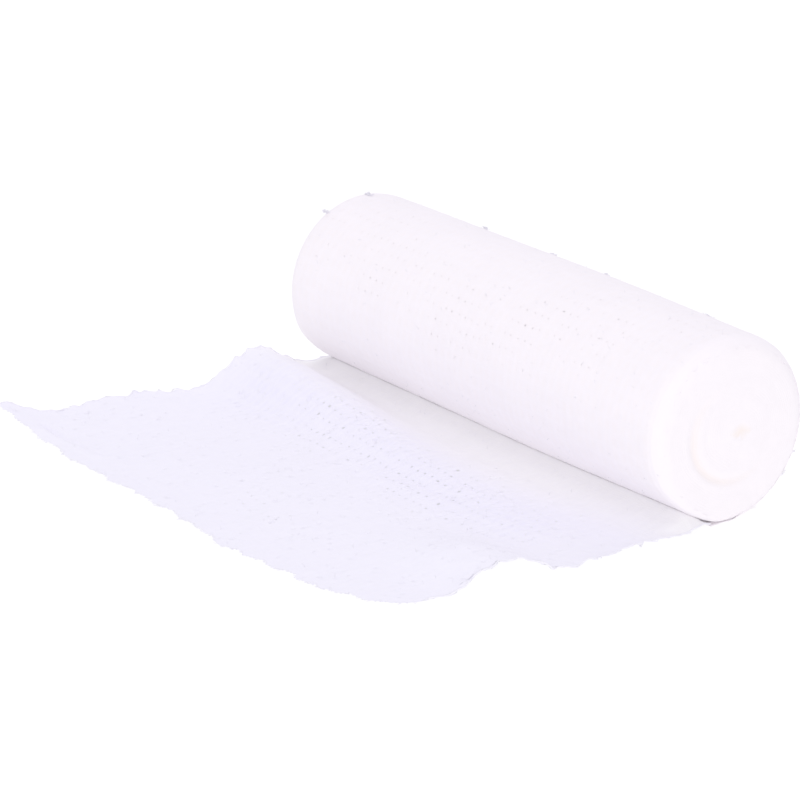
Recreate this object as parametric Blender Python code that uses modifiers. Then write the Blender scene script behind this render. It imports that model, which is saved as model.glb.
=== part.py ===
"""Gauze bandage roll: one strip of elastic gauze, wound up, with its loose end drawn out flat.

Metres, +Z up. X runs along the roll's axis, the loose end leaves towards -Y, and the origin lies on
the surface, under the middle of the roll. The strip is one cut length: `gauze_roll` is its wound
part and `loose_end` its free part, which starts in the nip under the roll.
"""
import math

import bmesh
import bpy

MM = 0.001

# The strip and its roll
GAUZE_WIDTH = 100 * MM       # selvedge to selvedge, which is also the roll's length
RADIUS_FAR = 15.3 * MM       # the roll is wound a little tighter towards +X
RADIUS_NEAR = 15.15 * MM
SPOT_SINK = 0.35 * MM        # how far the roll's own weight flattens its underside
RIM_ROUND = 2.8 * MM         # soft round between the roll's side and its end faces
SIDE_SWELL = 0.16 * MM       # how uneven the roll's side is
SWELL_LENGTH = 62 * MM       # length of one slack and one tight stretch along the roll
SWELL_TWIST = 50             # radians per metre by which the slack places wander round the roll
ROUND_STEPS = 64             # segments round the roll
RIM_STEPS = 5
SIDE_STEPS = 14

# The turns that show on the end faces
TURN_PITCH = 2.7 * MM        # radius gained by one main turn of the spiral
TURN_DEPTH = 0.45 * MM       # depth of the valley between two main turns
TURN_START = 0.463           # share of a turn by which the spiral is turned round the axis
FACE_STEPS_PER_TURN = 4
FACE_DOME = 0.6 * MM         # how far the middle turns stand out of the face
CORE_RADIUS = 1.9 * MM       # the first, tight fold of the strip
CORE_DEPTH = 0.9 * MM
CORE_SHIFT = 1.4 * MM        # the core sits this far from the axis, along Y
SLIPPED_TURN = 7.9 * MM      # radius of the one turn that has slipped inwards
SLIPPED_DEPTH = 0.45 * MM

# The loose end
SHEET_THICK = 1.0 * MM
SHEET_GAP = 0.3 * MM         # clearance between the roll and the sheet in the nip
THINNEST_SHARE = 0.12        # of that thickness, where the sheet begins in the nip
SHEET_START = 5.0 * MM       # how far from the axis the sheet begins, under the roll
LOOSE_LENGTH = 67.6 * MM     # from the axis to the cut end, over the surface
SHEET_COLUMNS = 44
SHEET_ROWS = 30
CORNER_REACH = 32 * MM       # the near corner is rounded off over this width
CORNER_CUT = 12 * MM         # and this length
FLARE_REACH = 35 * MM        # how far into the sheet the far selvedge's flare is felt
EDGE_REACH = 10 * MM         # and the waves of a selvedge
EDGE_WAVE = 0.24 * MM        # unevenness of the selvedges and the cut end
EDGE_WAVE_LENGTH = 11 * MM

# Where the far selvedge runs: distance from the axis along the strip, and how far it flares outwards
FAR_SELVEDGE = (
    # along, flare (mm)
    (0, 0.0),
    (34, 0.0),
    (44, 2.2),
    (60, 2.4),
    (67, 5.0),
)

# Soft folds of the loose end. Each is a smooth hump: the place of its top (x, along), how far it
# reaches from there across and along the strip, and its height. All in mm.
FOLDS = (
    # x, along, reach_x, reach_along, height
    (-56, 21.0, 60, 10.8, 5.0),    # ridge lifted at the far selvedge
    (-12, 24.0, 58, 12.0, 1.5),    # its low run towards the near side
    (54, 43.5, 34, 11.5, 3.7),     # wave of the near selvedge
    (-60, 50.0, 26, 16.0, 0.8),    # far selvedge curling up a little
    (-62, 72.0, 24, 12.0, 4.6),    # lifted tip of the far corner
    (-6, 50.0, 30, 11.0, 0.5),     # slack in the middle
)

# Colours as linear RGB
ROLL_WHITE = (0.93, 0.88, 0.92)
SHEET_WHITE = (0.89, 0.88, 0.97)
GAUZE_ROUGHNESS = 0.95


def clear_objects():
    for thing in list(bpy.data.objects):
        bpy.data.objects.remove(thing, do_unlink=True)


def gauze_material(name, colour):
    material = bpy.data.materials.new(name)
    material.use_nodes = True
    shader = material.node_tree.nodes["Principled BSDF"]
    shader.inputs["Base Color"].default_value = (*colour, 1.0)
    shader.inputs["Roughness"].default_value = GAUZE_ROUGHNESS
    shader.inputs["Metallic"].default_value = 0.0
    return material


def add_object(name, mesh, collection, material):
    thing = bpy.data.objects.new(name, mesh)
    collection.objects.link(thing)
    mesh.materials.append(material)
    return thing


def hump(offset, reach):
    """A smooth bump: 1 at offset 0, falling by a raised cosine to 0 at the reach and beyond."""
    share = min(abs(offset) / reach, 1.0)
    return 0.5 + 0.5 * math.cos(math.pi * share)


def smooth_step(value):
    share = min(max(value, 0.0), 1.0)
    return share * share * (3.0 - 2.0 * share)


def read_row(table, place):
    """The table's second column at a place in its first one, eased smoothly between its rows."""
    for (start, before), (end, after) in zip(table, table[1:]):
        if place <= end:
            share = smooth_step((place - start) / (end - start))
            return before + (after - before) * share
    return table[-1][1]


# --- the wound roll -----------------------------------------------------------------------------

def roll_radius(x):
    share = x / GAUZE_WIDTH + 0.5
    return RADIUS_FAR + (RADIUS_NEAR - RADIUS_FAR) * share


def axis_height():
    return (RADIUS_FAR + RADIUS_NEAR) / 2 - SPOT_SINK


def end_profile(side):
    """Half outline of one end, from the axis to where the straight side begins, as (x, radius)."""
    flat_radius = roll_radius(side * GAUZE_WIDTH / 2) - RIM_ROUND
    face_steps = round(flat_radius / TURN_PITCH * FACE_STEPS_PER_TURN)
    end = GAUZE_WIDTH / 2
    points = [(side * end, flat_radius * step / face_steps) for step in range(face_steps)]
    for step in range(RIM_STEPS + 1):
        angle = math.pi / 2 * step / RIM_STEPS
        along = side * (end - RIM_ROUND * (1.0 - math.cos(angle)))
        points.append((along, flat_radius + RIM_ROUND * math.sin(angle)))
    return points


def roll_outline():
    """Half outline of the whole roll, from the axis at +X round to the axis at -X."""
    straight = GAUZE_WIDTH / 2 - RIM_ROUND
    side = []
    for step in range(1, SIDE_STEPS):
        x = straight - 2 * straight * step / SIDE_STEPS
        side.append((x, roll_radius(x)))
    return end_profile(1) + side + end_profile(-1)[::-1]


def face_relief(radius, angle):
    """How far the end face stands out at a place: a domed spiral of turns round a sunken core."""
    phase = radius / TURN_PITCH + angle / (2 * math.pi) + TURN_START
    valley = 0.5 + 0.5 * math.cos(2 * math.pi * phase)
    depth = TURN_DEPTH + SLIPPED_DEPTH * hump(radius - SLIPPED_TURN, TURN_PITCH)
    turns = depth * valley * smooth_step(radius / CORE_RADIUS)
    dome = FACE_DOME * hump(radius, RADIUS_NEAR)
    core = CORE_DEPTH * hump(radius, CORE_RADIUS)
    return dome - turns - core


def side_relief(x, angle):
    """How far the roll's side stands out: soft swells where the turns lie slack."""
    along_it = math.sin(2 * math.pi * x / SWELL_LENGTH)
    round_it = math.sin(2 * angle + SWELL_TWIST * x)
    return SIDE_SWELL * (along_it + round_it) / 2


def shape_roll(mesh):
    """Presses the turns into a plain turned roll, swells its side, and sets it on its flat spot."""
    for vertex in mesh.vertices:
        x, y, z = vertex.co
        radius = math.hypot(y, z)
        angle = math.atan2(z, y)
        full = roll_radius(x)
        off_axis = radius / full
        swell = 1.0 + side_relief(x, angle) / full * off_axis
        on_end = smooth_step((abs(x) - GAUZE_WIDTH / 2) / RIM_ROUND + 1.0)
        on_face = on_end * smooth_step((full - radius) / RIM_ROUND)
        relief = face_relief(radius, angle) * on_face
        vertex.co.x = x + math.copysign(relief, x)
        vertex.co.y = y * swell + CORE_SHIFT * on_face * (1.0 - off_axis) ** 2
        vertex.co.z = max(z * swell + axis_height(), 0.0)


def make_roll(collection):
    outline = bpy.data.meshes.new("roll_outline")
    points = [(x, radius, 0.0) for x, radius in roll_outline()]
    edges = [(index, index + 1) for index in range(len(points) - 1)]
    outline.from_pydata(points, edges, [])
    profile = bpy.data.objects.new("roll_outline", outline)
    collection.objects.link(profile)

    turned = profile.modifiers.new("Turned", "SCREW")
    turned.axis = "X"
    turned.steps = ROUND_STEPS
    turned.render_steps = ROUND_STEPS
    turned.use_merge_vertices = True
    turned.merge_threshold = 0.00001
    turned.use_smooth_shade = True

    bpy.context.view_layer.update()
    evaluated = profile.evaluated_get(bpy.context.evaluated_depsgraph_get())
    mesh = bpy.data.meshes.new_from_object(evaluated)
    bpy.data.objects.remove(profile, do_unlink=True)

    shape_roll(mesh)
    cleaned = bmesh.new()
    cleaned.from_mesh(mesh)
    bmesh.ops.recalc_face_normals(cleaned, faces=cleaned.faces)
    cleaned.to_mesh(mesh)
    cleaned.free()
    return add_object("gauze_roll", mesh, collection, gauze_material("gauze_wound", ROLL_WHITE))


# --- the loose end ------------------------------------------------------------------------------

def edge_wave(place):
    """Unevenness of a cut or woven edge: two waves of unlike length laid over each other."""
    turn = 2 * math.pi * place / EDGE_WAVE_LENGTH
    return EDGE_WAVE * (math.sin(turn) + math.cos(math.sqrt(3) * turn))


def cut_end_at(across):
    """Where the cut end runs: straight, with an elliptic near corner."""
    start = GAUZE_WIDTH / 2 - CORNER_REACH
    share = max((across - start) / CORNER_REACH, 0.0)
    corner = CORNER_CUT * (1.0 - math.sqrt(max(1.0 - share * share, 0.0)))
    return LOOSE_LENGTH - corner + edge_wave(across)


def sheet_height(x, along):
    """Height of the sheet's underside: the sum of its folds."""
    total = 0.0
    for fold_x, fold_along, reach_x, reach_along, height in FOLDS:
        over_x = hump(x - fold_x * MM, reach_x * MM)
        over_along = hump(along - fold_along * MM, reach_along * MM)
        total += height * MM * over_x * over_along
    return total


def sheet_place(across, down):
    """A point of the sheet's underside, for a place across (X) and a share down (0 to 1)."""
    along = SHEET_START + (cut_end_at(across) - SHEET_START) * down
    from_selvedge = GAUZE_WIDTH / 2 - abs(across)
    wave = edge_wave(along + across) * smooth_step(1.0 - from_selvedge / EDGE_REACH)
    wave *= smooth_step((along - SHEET_START) / EDGE_WAVE_LENGTH)
    from_far = GAUZE_WIDTH / 2 + across
    flare = read_row(FAR_SELVEDGE, along / MM) * MM * smooth_step(1.0 - from_far / FLARE_REACH)
    x = across - flare + math.copysign(1.0, across) * wave
    return x, -along, sheet_height(x, along)


def nip_thickness(x, along):
    """Share of the sheet's thickness that fits under the roll at this place."""
    if along >= roll_radius(x):
        return 1.0
    under = math.sqrt(roll_radius(x) ** 2 - along ** 2)
    swollen = roll_radius(x) + side_relief(x, math.atan2(-under, -along)) + SHEET_GAP
    room = axis_height() - math.sqrt(swollen ** 2 - along ** 2)
    return min(max(room / SHEET_THICK, THINNEST_SHARE), 1.0)


def make_loose_end(collection):
    grid = bmesh.new()
    bmesh.ops.create_grid(grid, x_segments=SHEET_COLUMNS, y_segments=SHEET_ROWS, size=1.0)
    for vertex in grid.verts:
        vertex.co = sheet_place(vertex.co.x * GAUZE_WIDTH / 2, (1.0 - vertex.co.y) / 2)
    mesh = bpy.data.meshes.new("loose_end")
    grid.to_mesh(mesh)
    grid.free()
    mesh.shade_smooth()
    sheet = add_object("loose_end", mesh, collection, gauze_material("gauze_single", SHEET_WHITE))

    full = sheet.vertex_groups.new(name="thickness")
    for vertex in mesh.vertices:
        full.add([vertex.index], nip_thickness(vertex.co.x, -vertex.co.y), "REPLACE")

    thick = sheet.modifiers.new("Thickness", "SOLIDIFY")
    thick.thickness = SHEET_THICK
    thick.offset = 1.0
    thick.vertex_group = full.name
    return sheet


def main():
    clear_objects()
    collection = bpy.data.collections.new("gauze_bandage_roll")
    bpy.context.scene.collection.children.link(collection)
    make_roll(collection)
    make_loose_end(collection)


main()
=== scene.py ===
"""Looks of the gauze bandage roll: its cloth as woven yarn, with the camera and light of the photo.

Sizes are in millimetres until a mesh is made of them. As in the solids, X runs along the roll's
axis, the loose end leaves towards -Y, +Z is up and the surface lies at height 0. A place on the
strip is `across` (-50 to 50, selvedge to selvedge) and `along` (from under the roll to the cut
end). A `share` of a turn is counted round the roll from its bottom, the way the strip winds.
"""

import bmesh
import bpy
import numpy as np
from mathutils import Matrix, Vector


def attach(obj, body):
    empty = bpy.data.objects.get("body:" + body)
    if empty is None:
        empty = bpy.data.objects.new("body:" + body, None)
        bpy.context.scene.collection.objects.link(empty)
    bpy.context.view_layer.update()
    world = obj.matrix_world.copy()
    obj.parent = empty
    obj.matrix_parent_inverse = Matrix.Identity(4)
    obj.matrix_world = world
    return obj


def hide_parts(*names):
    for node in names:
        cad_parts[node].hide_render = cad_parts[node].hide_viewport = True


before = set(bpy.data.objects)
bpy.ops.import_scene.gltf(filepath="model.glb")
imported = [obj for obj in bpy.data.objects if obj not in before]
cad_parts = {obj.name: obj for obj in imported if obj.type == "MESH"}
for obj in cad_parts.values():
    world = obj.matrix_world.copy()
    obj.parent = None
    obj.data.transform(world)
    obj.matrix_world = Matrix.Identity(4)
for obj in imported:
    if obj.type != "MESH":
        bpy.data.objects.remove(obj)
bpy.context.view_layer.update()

MM = 0.001
TURN = 2 * np.pi

# --- sizes shared with the solids (mm) ---

GAUZE_WIDTH = 100.0  # selvedge to selvedge, which is also the roll's length
HALF_WIDTH = GAUZE_WIDTH / 2
RADIUS_FAR = 15.3
RADIUS_NEAR = 15.15
SPOT_SINK = 0.35  # how far the roll's weight flattens its underside
RIM_ROUND = 3.0  # soft round between the roll's side and its end faces
SIDE_SWELL = 0.16
SWELL_LENGTH = 62.0
SWELL_TWIST = 0.05  # radians per mm

TURN_PITCH = 2.7  # the main turns of the spiral on the end faces
TURN_DEPTH = 0.03  # the solids have 0.45, so that the turns read without the fine ones
TURN_START = 0.463
FACE_DOME = 0.6
CORE_RADIUS = 1.9
CORE_DEPTH = 0.35
CORE_SHIFT = 1.4
SLIPPED_TURN = 7.9
SLIPPED_DEPTH = 0.36
SLIPPED_FROM = 3.75  # radians round the face where that turn has slipped most
SLIPPED_REACH = 2.0

SHEET_START = 5.0
LOOSE_LENGTH = 67.6
CORNER_REACH = 32.0
CORNER_CUT = 12.0
FLARE_REACH = 35.0
EDGE_REACH = 10.0
EDGE_WAVE = 0.24
EDGE_WAVE_LENGTH = 11.0

FAR_SELVEDGE = (
    # along, flare
    (0, 0.0), (34, 0.0), (44, 2.2), (60, 2.4), (67, 5.0),
)

FOLDS = (
    # x, along, reach_x, reach_along, height
    (-56, 21.0, 60, 10.8, 5.0),
    (-12, 24.0, 58, 12.0, 1.5),
    (54, 43.5, 34, 11.5, 3.7),
    (-60, 50.0, 26, 16.0, 0.8),
    (-62, 72.0, 24, 12.0, 4.6),
    (-6, 50.0, 30, 11.0, 0.5),
)

# --- the weave (mm) ---

CELLS_ACROSS = 56  # holes from selvedge to selvedge, 1.8 mm apart
HOLE_ROW_PITCH = 2.4  # from one weft to the next
CELL_WIDTH = GAUZE_WIDTH / CELLS_ACROSS
CELL_COLUMNS = 6  # grid steps of one cell, across and along the strip
CELL_ROWS = 7
HOLE_COLUMNS = 1.0  # half the block of them that a hole takes out
HOLE_ROWS = 1.5
YARN_REACH = 0.72  # half the width of a yarn's soft ridge
YARN_CRIMP = 0.085  # how far a yarn rises and dips as it passes over and under
YARN_FALL = 0.26  # from the top of a yarn to its edge
YARN_DRIFT = 0.32  # how far a yarn strays from its line
DRIFT_REACH = 7.0  # over this length
HOLE_ACROSS = 0.62  # the widest holes
HOLE_ALONG = 0.80
HOLE_SPREAD = (0.45, 1.0)  # chance share of a cell's openness that its hole has
CLOSED_BELOW = 0.36  # a cell less open than this has none
WIDE_SPREAD = (0.75, 1.15)  # and chance shares of its two widths
LONG_SPREAD = (0.70, 1.15)
HOLE_SHIFT = 0.04  # cells by which it lies off its middle at most

# --- how the layers lie (mm) ---

FINE_PITCH = 0.42  # real turns are nearer 0.3 apart, drawn coarser so that they show
ROWS_PER_TURN = 4
ROUND_COLUMNS = 288
CORE_HOLE = 0.7
BODY_ROWS = 36
UNDER_LAYER = 0.05  # the wound turns start this far under the roll's outer radius
OUTER_LAP = FINE_PITCH  # how far the outer turn draws in while it goes round once
OUTER_DRAWN = 0.10  # the tops of its yarns, not its middle, have the roll's radius
OUTER_FLOOR = 0.06  # its middle stays this far over the table at the bottom
PRESSED_LIFT = 0.3  # share of the yarns' relief that is left where it lies on the table
RIM_PRESSED = 0.5  # share by which the rim is tighter where the roll's weight presses it
PRESSED_AT = 0.95  # share of a turn from the bottom
PRESSED_REACH = 0.2  # and how far round from there it is
RIM_CURL = 0.95  # radians of the rim that the outer turn's selvedge curls round
CURL_REACH = 9.0  # the strip's edges start to curl this far before the roll's bottom
CURL_LATE = 3.0  # and the near one this much later
EDGE_HUG = 0.45  # how far both rise under the roll, to meet the wound turns
HUG_WIDTH = 2.8  # in from the selvedge
HUG_BLEND = 1.5
NIP_LAP = 0.04  # share of a turn by which it starts before the bottom
ROLL_RELIEF = 0.14  # share of the yarns' relief that is left in the wound strip
FINE_RIDGE = 0.025  # how far each fine turn stands out of an end face
BODY_FLOOR = 0.62  # room under the wound turns for the strip that runs out
ROLL_BARREL = 0.12  # how much thicker the roll is in the middle, and thinner at its ends
FAR_SETTLE = 0.30  # how much lower the roll's far end lies than its near end
FLAT_DEPTH = 0.50  # how far the roll's lower front, over the nip, is pressed in
FLAT_AT = 0.90  # share of a turn from the bottom
FLAT_REACH = 0.10
TAIL_START = 4.0
NIP_END = 7.6  # the loose end leaves the roll's underside there
NIP_HEIGHT = 1.4  # how high it leaves, on its long slope
NIP_SLOPE = 9.0
NIP_STEP = 1.2  # and on top of that the short steep one right at the roll
NIP_DROP = 1.4
NIP_TAKEN = 2.2  # from where it starts to where it clings to the roll's underside
NIP_SHARE = 0.4  # share of the room under the roll that it takes where it starts
CLOTH_LOW = 0.30  # height of the loose end's cloth over its solid's underside, lying flat
CLOTH_HIGH = 0.70  # and on top of a fold
FULL_FOLD = 3.0  # folds this high have all of that
CLOTH_FLOOR = 0.12  # the cloth's middle stays this far over the table
YARN_FLOOR = 0.04  # and its yarns this far


# --- formulas shared with the solids ---

def hump(offset, reach):
    """1 at offset 0, falling to 0 at the reach by (1 + cos(pi offset/reach)) / 2."""
    return 0.5 + 0.5 * np.cos(np.pi * np.minimum(np.abs(offset) / reach, 1.0))


def ease(value):
    """3t^2 - 2t^3 for t from 0 to 1."""
    share = np.clip(value, 0.0, 1.0)
    return share * share * (3.0 - 2.0 * share)


def blend(low, high, value):
    """From low to high, by ease."""
    return low + (high - low) * ease(value)


def fading(distance, reach):
    """1 at a line and 0 from the reach on, by ease."""
    return ease(1.0 - distance / reach)


def unit(vectors):
    """The vectors (last axis) divided by their lengths."""
    return vectors / (np.linalg.norm(vectors, axis=-1, keepdims=True) + 1e-9)


def read_rows(table, place):
    """The table's second column at each place in its first, eased between rows."""
    value = np.full(np.shape(place), float(table[0][1]))
    for (start, before), (end, after) in zip(table, table[1:]):
        value += (after - before) * ease((place - start) / (end - start))
    return value


def roll_radius(x):
    """A cone from the far radius to the near one, plus barrel * (1 - 8 (x/length)^2)."""
    cone = RADIUS_FAR + (RADIUS_NEAR - RADIUS_FAR) * (x / GAUZE_WIDTH + 0.5)
    return cone + ROLL_BARREL * (1.0 - 8.0 * (x / GAUZE_WIDTH) ** 2)


def side_radius(x, share):
    """Radius of the roll's side: cone, barrel and the solids' relief, less the flat over the nip,
    depth * hump round the roll."""
    relief = side_relief(x, TURN * (share - 0.25))
    return roll_radius(x) + relief - FLAT_DEPTH * hump(share - FLAT_AT, FLAT_REACH)


def side_relief(x, angle):
    """Half of sin(2 pi x/length) + sin(2 angle + twist x), times the swell."""
    return SIDE_SWELL * (np.sin(TURN * x / SWELL_LENGTH) + np.sin(2 * angle + SWELL_TWIST * x)) / 2


def rim_round(share):
    """Radius of the rim's round: less round the lower front by pressed * hump round the roll."""
    away = np.mod(share - PRESSED_AT + 0.5, 1.0) - 0.5
    return RIM_ROUND * (1.0 - RIM_PRESSED * hump(away, PRESSED_REACH))


def slipped_share(radius, reach, angle):
    """How far the slipped turn stands in: hump along the radius * hump round the face."""
    round_it = np.mod(angle - SLIPPED_FROM + np.pi, TURN) - np.pi
    return hump(radius - SLIPPED_TURN, reach) * hump(round_it, SLIPPED_REACH)


def face_relief(radius, angle):
    """Dome - valleys of the main turns, deeper where one has slipped, - the core's hollow."""
    phase = radius / TURN_PITCH + angle / TURN + TURN_START
    valley = 0.5 + 0.5 * np.cos(TURN * phase)
    depth = TURN_DEPTH + SLIPPED_DEPTH * slipped_share(radius, TURN_PITCH, angle)
    turns = depth * valley * ease(radius / CORE_RADIUS)
    return FACE_DOME * hump(radius, RADIUS_NEAR) - turns - CORE_DEPTH * hump(radius, CORE_RADIUS)


def edge_wave(place):
    """wave (sin t + cos(sqrt(3) t)), with t = 2 pi place/length."""
    turn = TURN * place / EDGE_WAVE_LENGTH
    return EDGE_WAVE * (np.sin(turn) + np.cos(np.sqrt(3) * turn))


def cut_end_at(across):
    """Straight, less an ellipse's quarter at the near corner, plus the edge's wave."""
    share = np.clip((across - HALF_WIDTH + CORNER_REACH) / CORNER_REACH, 0.0, 1.0)
    return LOOSE_LENGTH - CORNER_CUT * (1.0 - np.sqrt(1.0 - share * share)) + edge_wave(across)


def fold_height(x, along):
    """The sum of the folds, each height * hump across * hump along."""
    total = np.zeros(np.broadcast(x, along).shape)
    for fold_x, fold_along, reach_x, reach_along, height in FOLDS:
        total += height * hump(x - fold_x, reach_x) * hump(along - fold_along, reach_along)
    return total


AXIS_HEIGHT = (RADIUS_FAR + RADIUS_NEAR) / 2 - SPOT_SINK


# --- noise ---

def ripple(first, second, length, seed, waves=10):
    """Smooth noise of about -1 to 1: a sum of sine waves, each 0.7 to 1.4 of the length long, with
    its own heading and phase."""
    chance = np.random.default_rng(seed)
    total = np.zeros(np.broadcast(first, second).shape)
    for heading, phase, stretch in chance.uniform(0.0, 1.0, (waves, 3)):
        run = first * np.cos(TURN * heading) + second * np.sin(TURN * heading)
        total += np.sin(TURN * (run / (length * (0.7 + 0.7 * stretch)) + phase))
    return total / np.sqrt(2 * waves)


def ripples(table, first, second, shift=0):
    """The sum of a table's rows, each height * ripple of its length and seed."""
    return sum(
        height * ripple(first, second, length, seed + shift) for height, length, seed in table
    )


def drifts(yarns, places, reach, seed):
    """Sideways stray of each yarn (one a row) at each place: random knots from -1 to 1, a reach
    apart and joined by ease."""
    chance = np.random.default_rng(seed)
    at = places / reach
    before = np.floor(at).astype(int)
    knots = chance.uniform(-1.0, 1.0, (yarns, before.max() + 2))
    share = ease(at - before)
    return knots[:, before] * (1.0 - share) + knots[:, before + 1] * share


# --- meshes ---

def add_object(name, data):
    """Puts this data into the scene as an object."""
    thing = bpy.data.objects.new(name, data)
    bpy.context.scene.collection.objects.link(thing)
    return thing


def make_piece(name, points, faces, material, uv=None, marks=None):
    """An object at the origin from points (mm) and groups of faces, with points that no face uses
    left out. `uv` holds a place in mm for each point, `marks` named values for each point."""
    points = points.reshape(-1, 3)
    groups = [group.reshape(-1, group.shape[-1]) for group in faces]
    used = np.unique(np.concatenate([group.ravel() for group in groups]))
    renumber = np.zeros(len(points), int)
    renumber[used] = np.arange(len(used))
    corners = [renumber[group] for group in groups]
    mesh = bpy.data.meshes.new(name)
    mesh.from_pydata(points[used] * MM, [], [face for group in corners for face in group.tolist()])
    mesh.shade_smooth()
    mesh.materials.append(material)
    if uv is not None:
        at_corner = np.zeros(len(mesh.loops), int)
        mesh.loops.foreach_get("vertex_index", at_corner)
        layer = mesh.uv_layers.new(name="strip")
        layer.data.foreach_set("uv", (uv.reshape(-1, 2)[used][at_corner] * MM).ravel())
    for mark, values in (marks or {}).items():
        layer = mesh.attributes.new(mark, "FLOAT", "POINT")
        layer.data.foreach_set("value", values.ravel()[used].astype(np.float32))
    piece = add_object(name, mesh)
    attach(piece, "root")
    return piece


def grid_faces(index):
    """Quads of a grid of point numbers, wound column by column."""
    return np.stack([index[:-1, :-1], index[:-1, 1:], index[1:, 1:], index[1:, :-1]], -1)


def weave(cells_along, openness, seed, hole_share=1.0):
    """One layer of open weave as (across, along, relief, kept quads), the first two in cells.

    Warp yarns run at the whole numbers across, weft yarns at those along, and each strays by its
    drift. Warp height = crimp cos(pi along), weft height = -crimp cos(pi across), with the sign
    turned from yarn to yarn; each falls off beside its yarn by a hump, and the relief is the higher
    one. In an open cell the middle block of quads is left out, and the ring of points round it is
    drawn onto an ellipse. `openness` holds 0 to 1 for each cell, `hole_share` scales the holes."""
    chance = np.random.default_rng(seed)
    columns = np.arange(CELLS_ACROSS * CELL_COLUMNS + 1)
    rows = np.arange(cells_along * CELL_ROWS + 1)
    column, row = np.meshgrid(columns, rows, indexing="ij")
    across, along = column / CELL_COLUMNS, row / CELL_ROWS
    cell_x = np.minimum(column // CELL_COLUMNS, CELLS_ACROSS - 1)
    cell_y = np.minimum(row // CELL_ROWS, cells_along - 1)

    size = openness * chance.uniform(*HOLE_SPREAD, openness.shape)
    is_open = size > CLOSED_BELOW
    size = size * hole_share
    wide = HOLE_ACROSS / 2 / CELL_WIDTH * size * chance.uniform(*WIDE_SPREAD, size.shape)
    long = HOLE_ALONG / 2 / HOLE_ROW_PITCH * size * chance.uniform(*LONG_SPREAD, size.shape)
    shift_x, shift_y = chance.uniform(-HOLE_SHIFT, HOLE_SHIFT, (2, *size.shape))

    step_x = (column - cell_x * CELL_COLUMNS) - CELL_COLUMNS / 2
    step_y = (row - cell_y * CELL_ROWS) - CELL_ROWS / 2
    in_block = (np.abs(step_x) <= HOLE_COLUMNS) & (np.abs(step_y) <= HOLE_ROWS)
    ring = in_block & is_open[cell_x, cell_y]
    round_it = np.arctan2(step_y / HOLE_ROWS, step_x / HOLE_COLUMNS)
    oval_x = cell_x + 0.5 + shift_x[cell_x, cell_y] + wide[cell_x, cell_y] * np.cos(round_it)
    oval_y = cell_y + 0.5 + shift_y[cell_x, cell_y] + long[cell_x, cell_y] * np.sin(round_it)

    warp_line, weft_line = np.rint(across), np.rint(along)
    from_warp = np.abs(across - warp_line) * CELL_WIDTH
    from_weft = np.abs(along - weft_line) * HOLE_ROW_PITCH
    warp = YARN_CRIMP * np.cos(np.pi * along) * (1 - 2 * (warp_line % 2))
    weft = -YARN_CRIMP * np.cos(np.pi * across) * (1 - 2 * (weft_line % 2))
    warp = warp - YARN_FALL * (1.0 - hump(from_warp, YARN_REACH))
    weft = weft - YARN_FALL * (1.0 - hump(from_weft, YARN_REACH))
    relief = np.maximum(warp, weft)

    across = np.where(ring, oval_x, across)
    along = np.where(ring, oval_y, along)
    warp_drift = drifts(CELLS_ACROSS + 1, rows * HOLE_ROW_PITCH / CELL_ROWS, DRIFT_REACH, seed + 1)
    weft_places = columns * CELL_WIDTH / CELL_COLUMNS
    weft_drift = drifts(cells_along + 1, weft_places, DRIFT_REACH, seed + 2)
    part_x, part_y = across - cell_x, along - cell_y
    stray_x = warp_drift[cell_x, row] * (1 - part_x) + warp_drift[cell_x + 1, row] * part_x
    stray_y = weft_drift[cell_y, column] * (1 - part_y) + weft_drift[cell_y + 1, column] * part_y
    across = across + YARN_DRIFT / CELL_WIDTH * stray_x
    along = along + YARN_DRIFT / HOLE_ROW_PITCH * stray_y

    quads = grid_faces(np.arange(column.size).reshape(column.shape))
    mid_x, mid_y = step_x[:-1, :-1] + 0.5, step_y[:-1, :-1] + 0.5
    in_hole = (np.abs(mid_x) < HOLE_COLUMNS) & (np.abs(mid_y) < HOLE_ROWS)
    in_hole = in_hole & is_open[cell_x, cell_y][:-1, :-1]
    return across, along, relief, quads[~in_hole]


def cell_grid(cells_along):
    """The cells' numbers across and along, and where their middles lie across (mm)."""
    cell_x, cell_y = np.meshgrid(np.arange(CELLS_ACROSS), np.arange(cells_along), indexing="ij")
    return cell_x, cell_y, ((cell_x + 0.5) / CELLS_ACROSS - 0.5) * GAUZE_WIDTH


def edge_distances(across):
    """Distances from the near selvedge, from the far one and from the nearer of the two."""
    from_near, from_far = HALF_WIDTH - across, HALF_WIDTH + across
    return from_near, from_far, np.minimum(from_near, from_far)


# --- threads ---

def make_threads(name, paths, radii, sides, material):
    """Many threads as one mesh. Round each path point stand `sides` points, at its radius times
    the cosine and sine of their turn, square to the path. `paths` is (threads, points, 3) and
    `radii` (threads, points)."""
    ahead = unit(np.gradient(paths, axis=1))
    upright = np.where(np.abs(ahead[..., 2:3]) > 0.8, [1.0, 0.0, 0.0], [0.0, 0.0, 1.0])
    beside = unit(np.cross(ahead, upright))
    above = np.cross(beside, ahead)
    turn = TURN * np.arange(sides) / sides
    ring = beside[:, :, None] * np.cos(turn)[:, None] + above[:, :, None] * np.sin(turn)[:, None]
    points = paths[:, :, None] + radii[:, :, None, None] * ring
    threads, steps = paths.shape[:2]
    index = np.arange(threads * steps * sides).reshape(threads, steps, sides)
    nearer, farther = index[:, :-1], index[:, 1:]
    walls = np.stack([nearer, np.roll(nearer, -1, 2), np.roll(farther, -1, 2), farther], -1)
    caps = [index[:, 0, ::-1], index[:, -1]]
    return make_piece(name, points, [walls, *caps], material)


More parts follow.
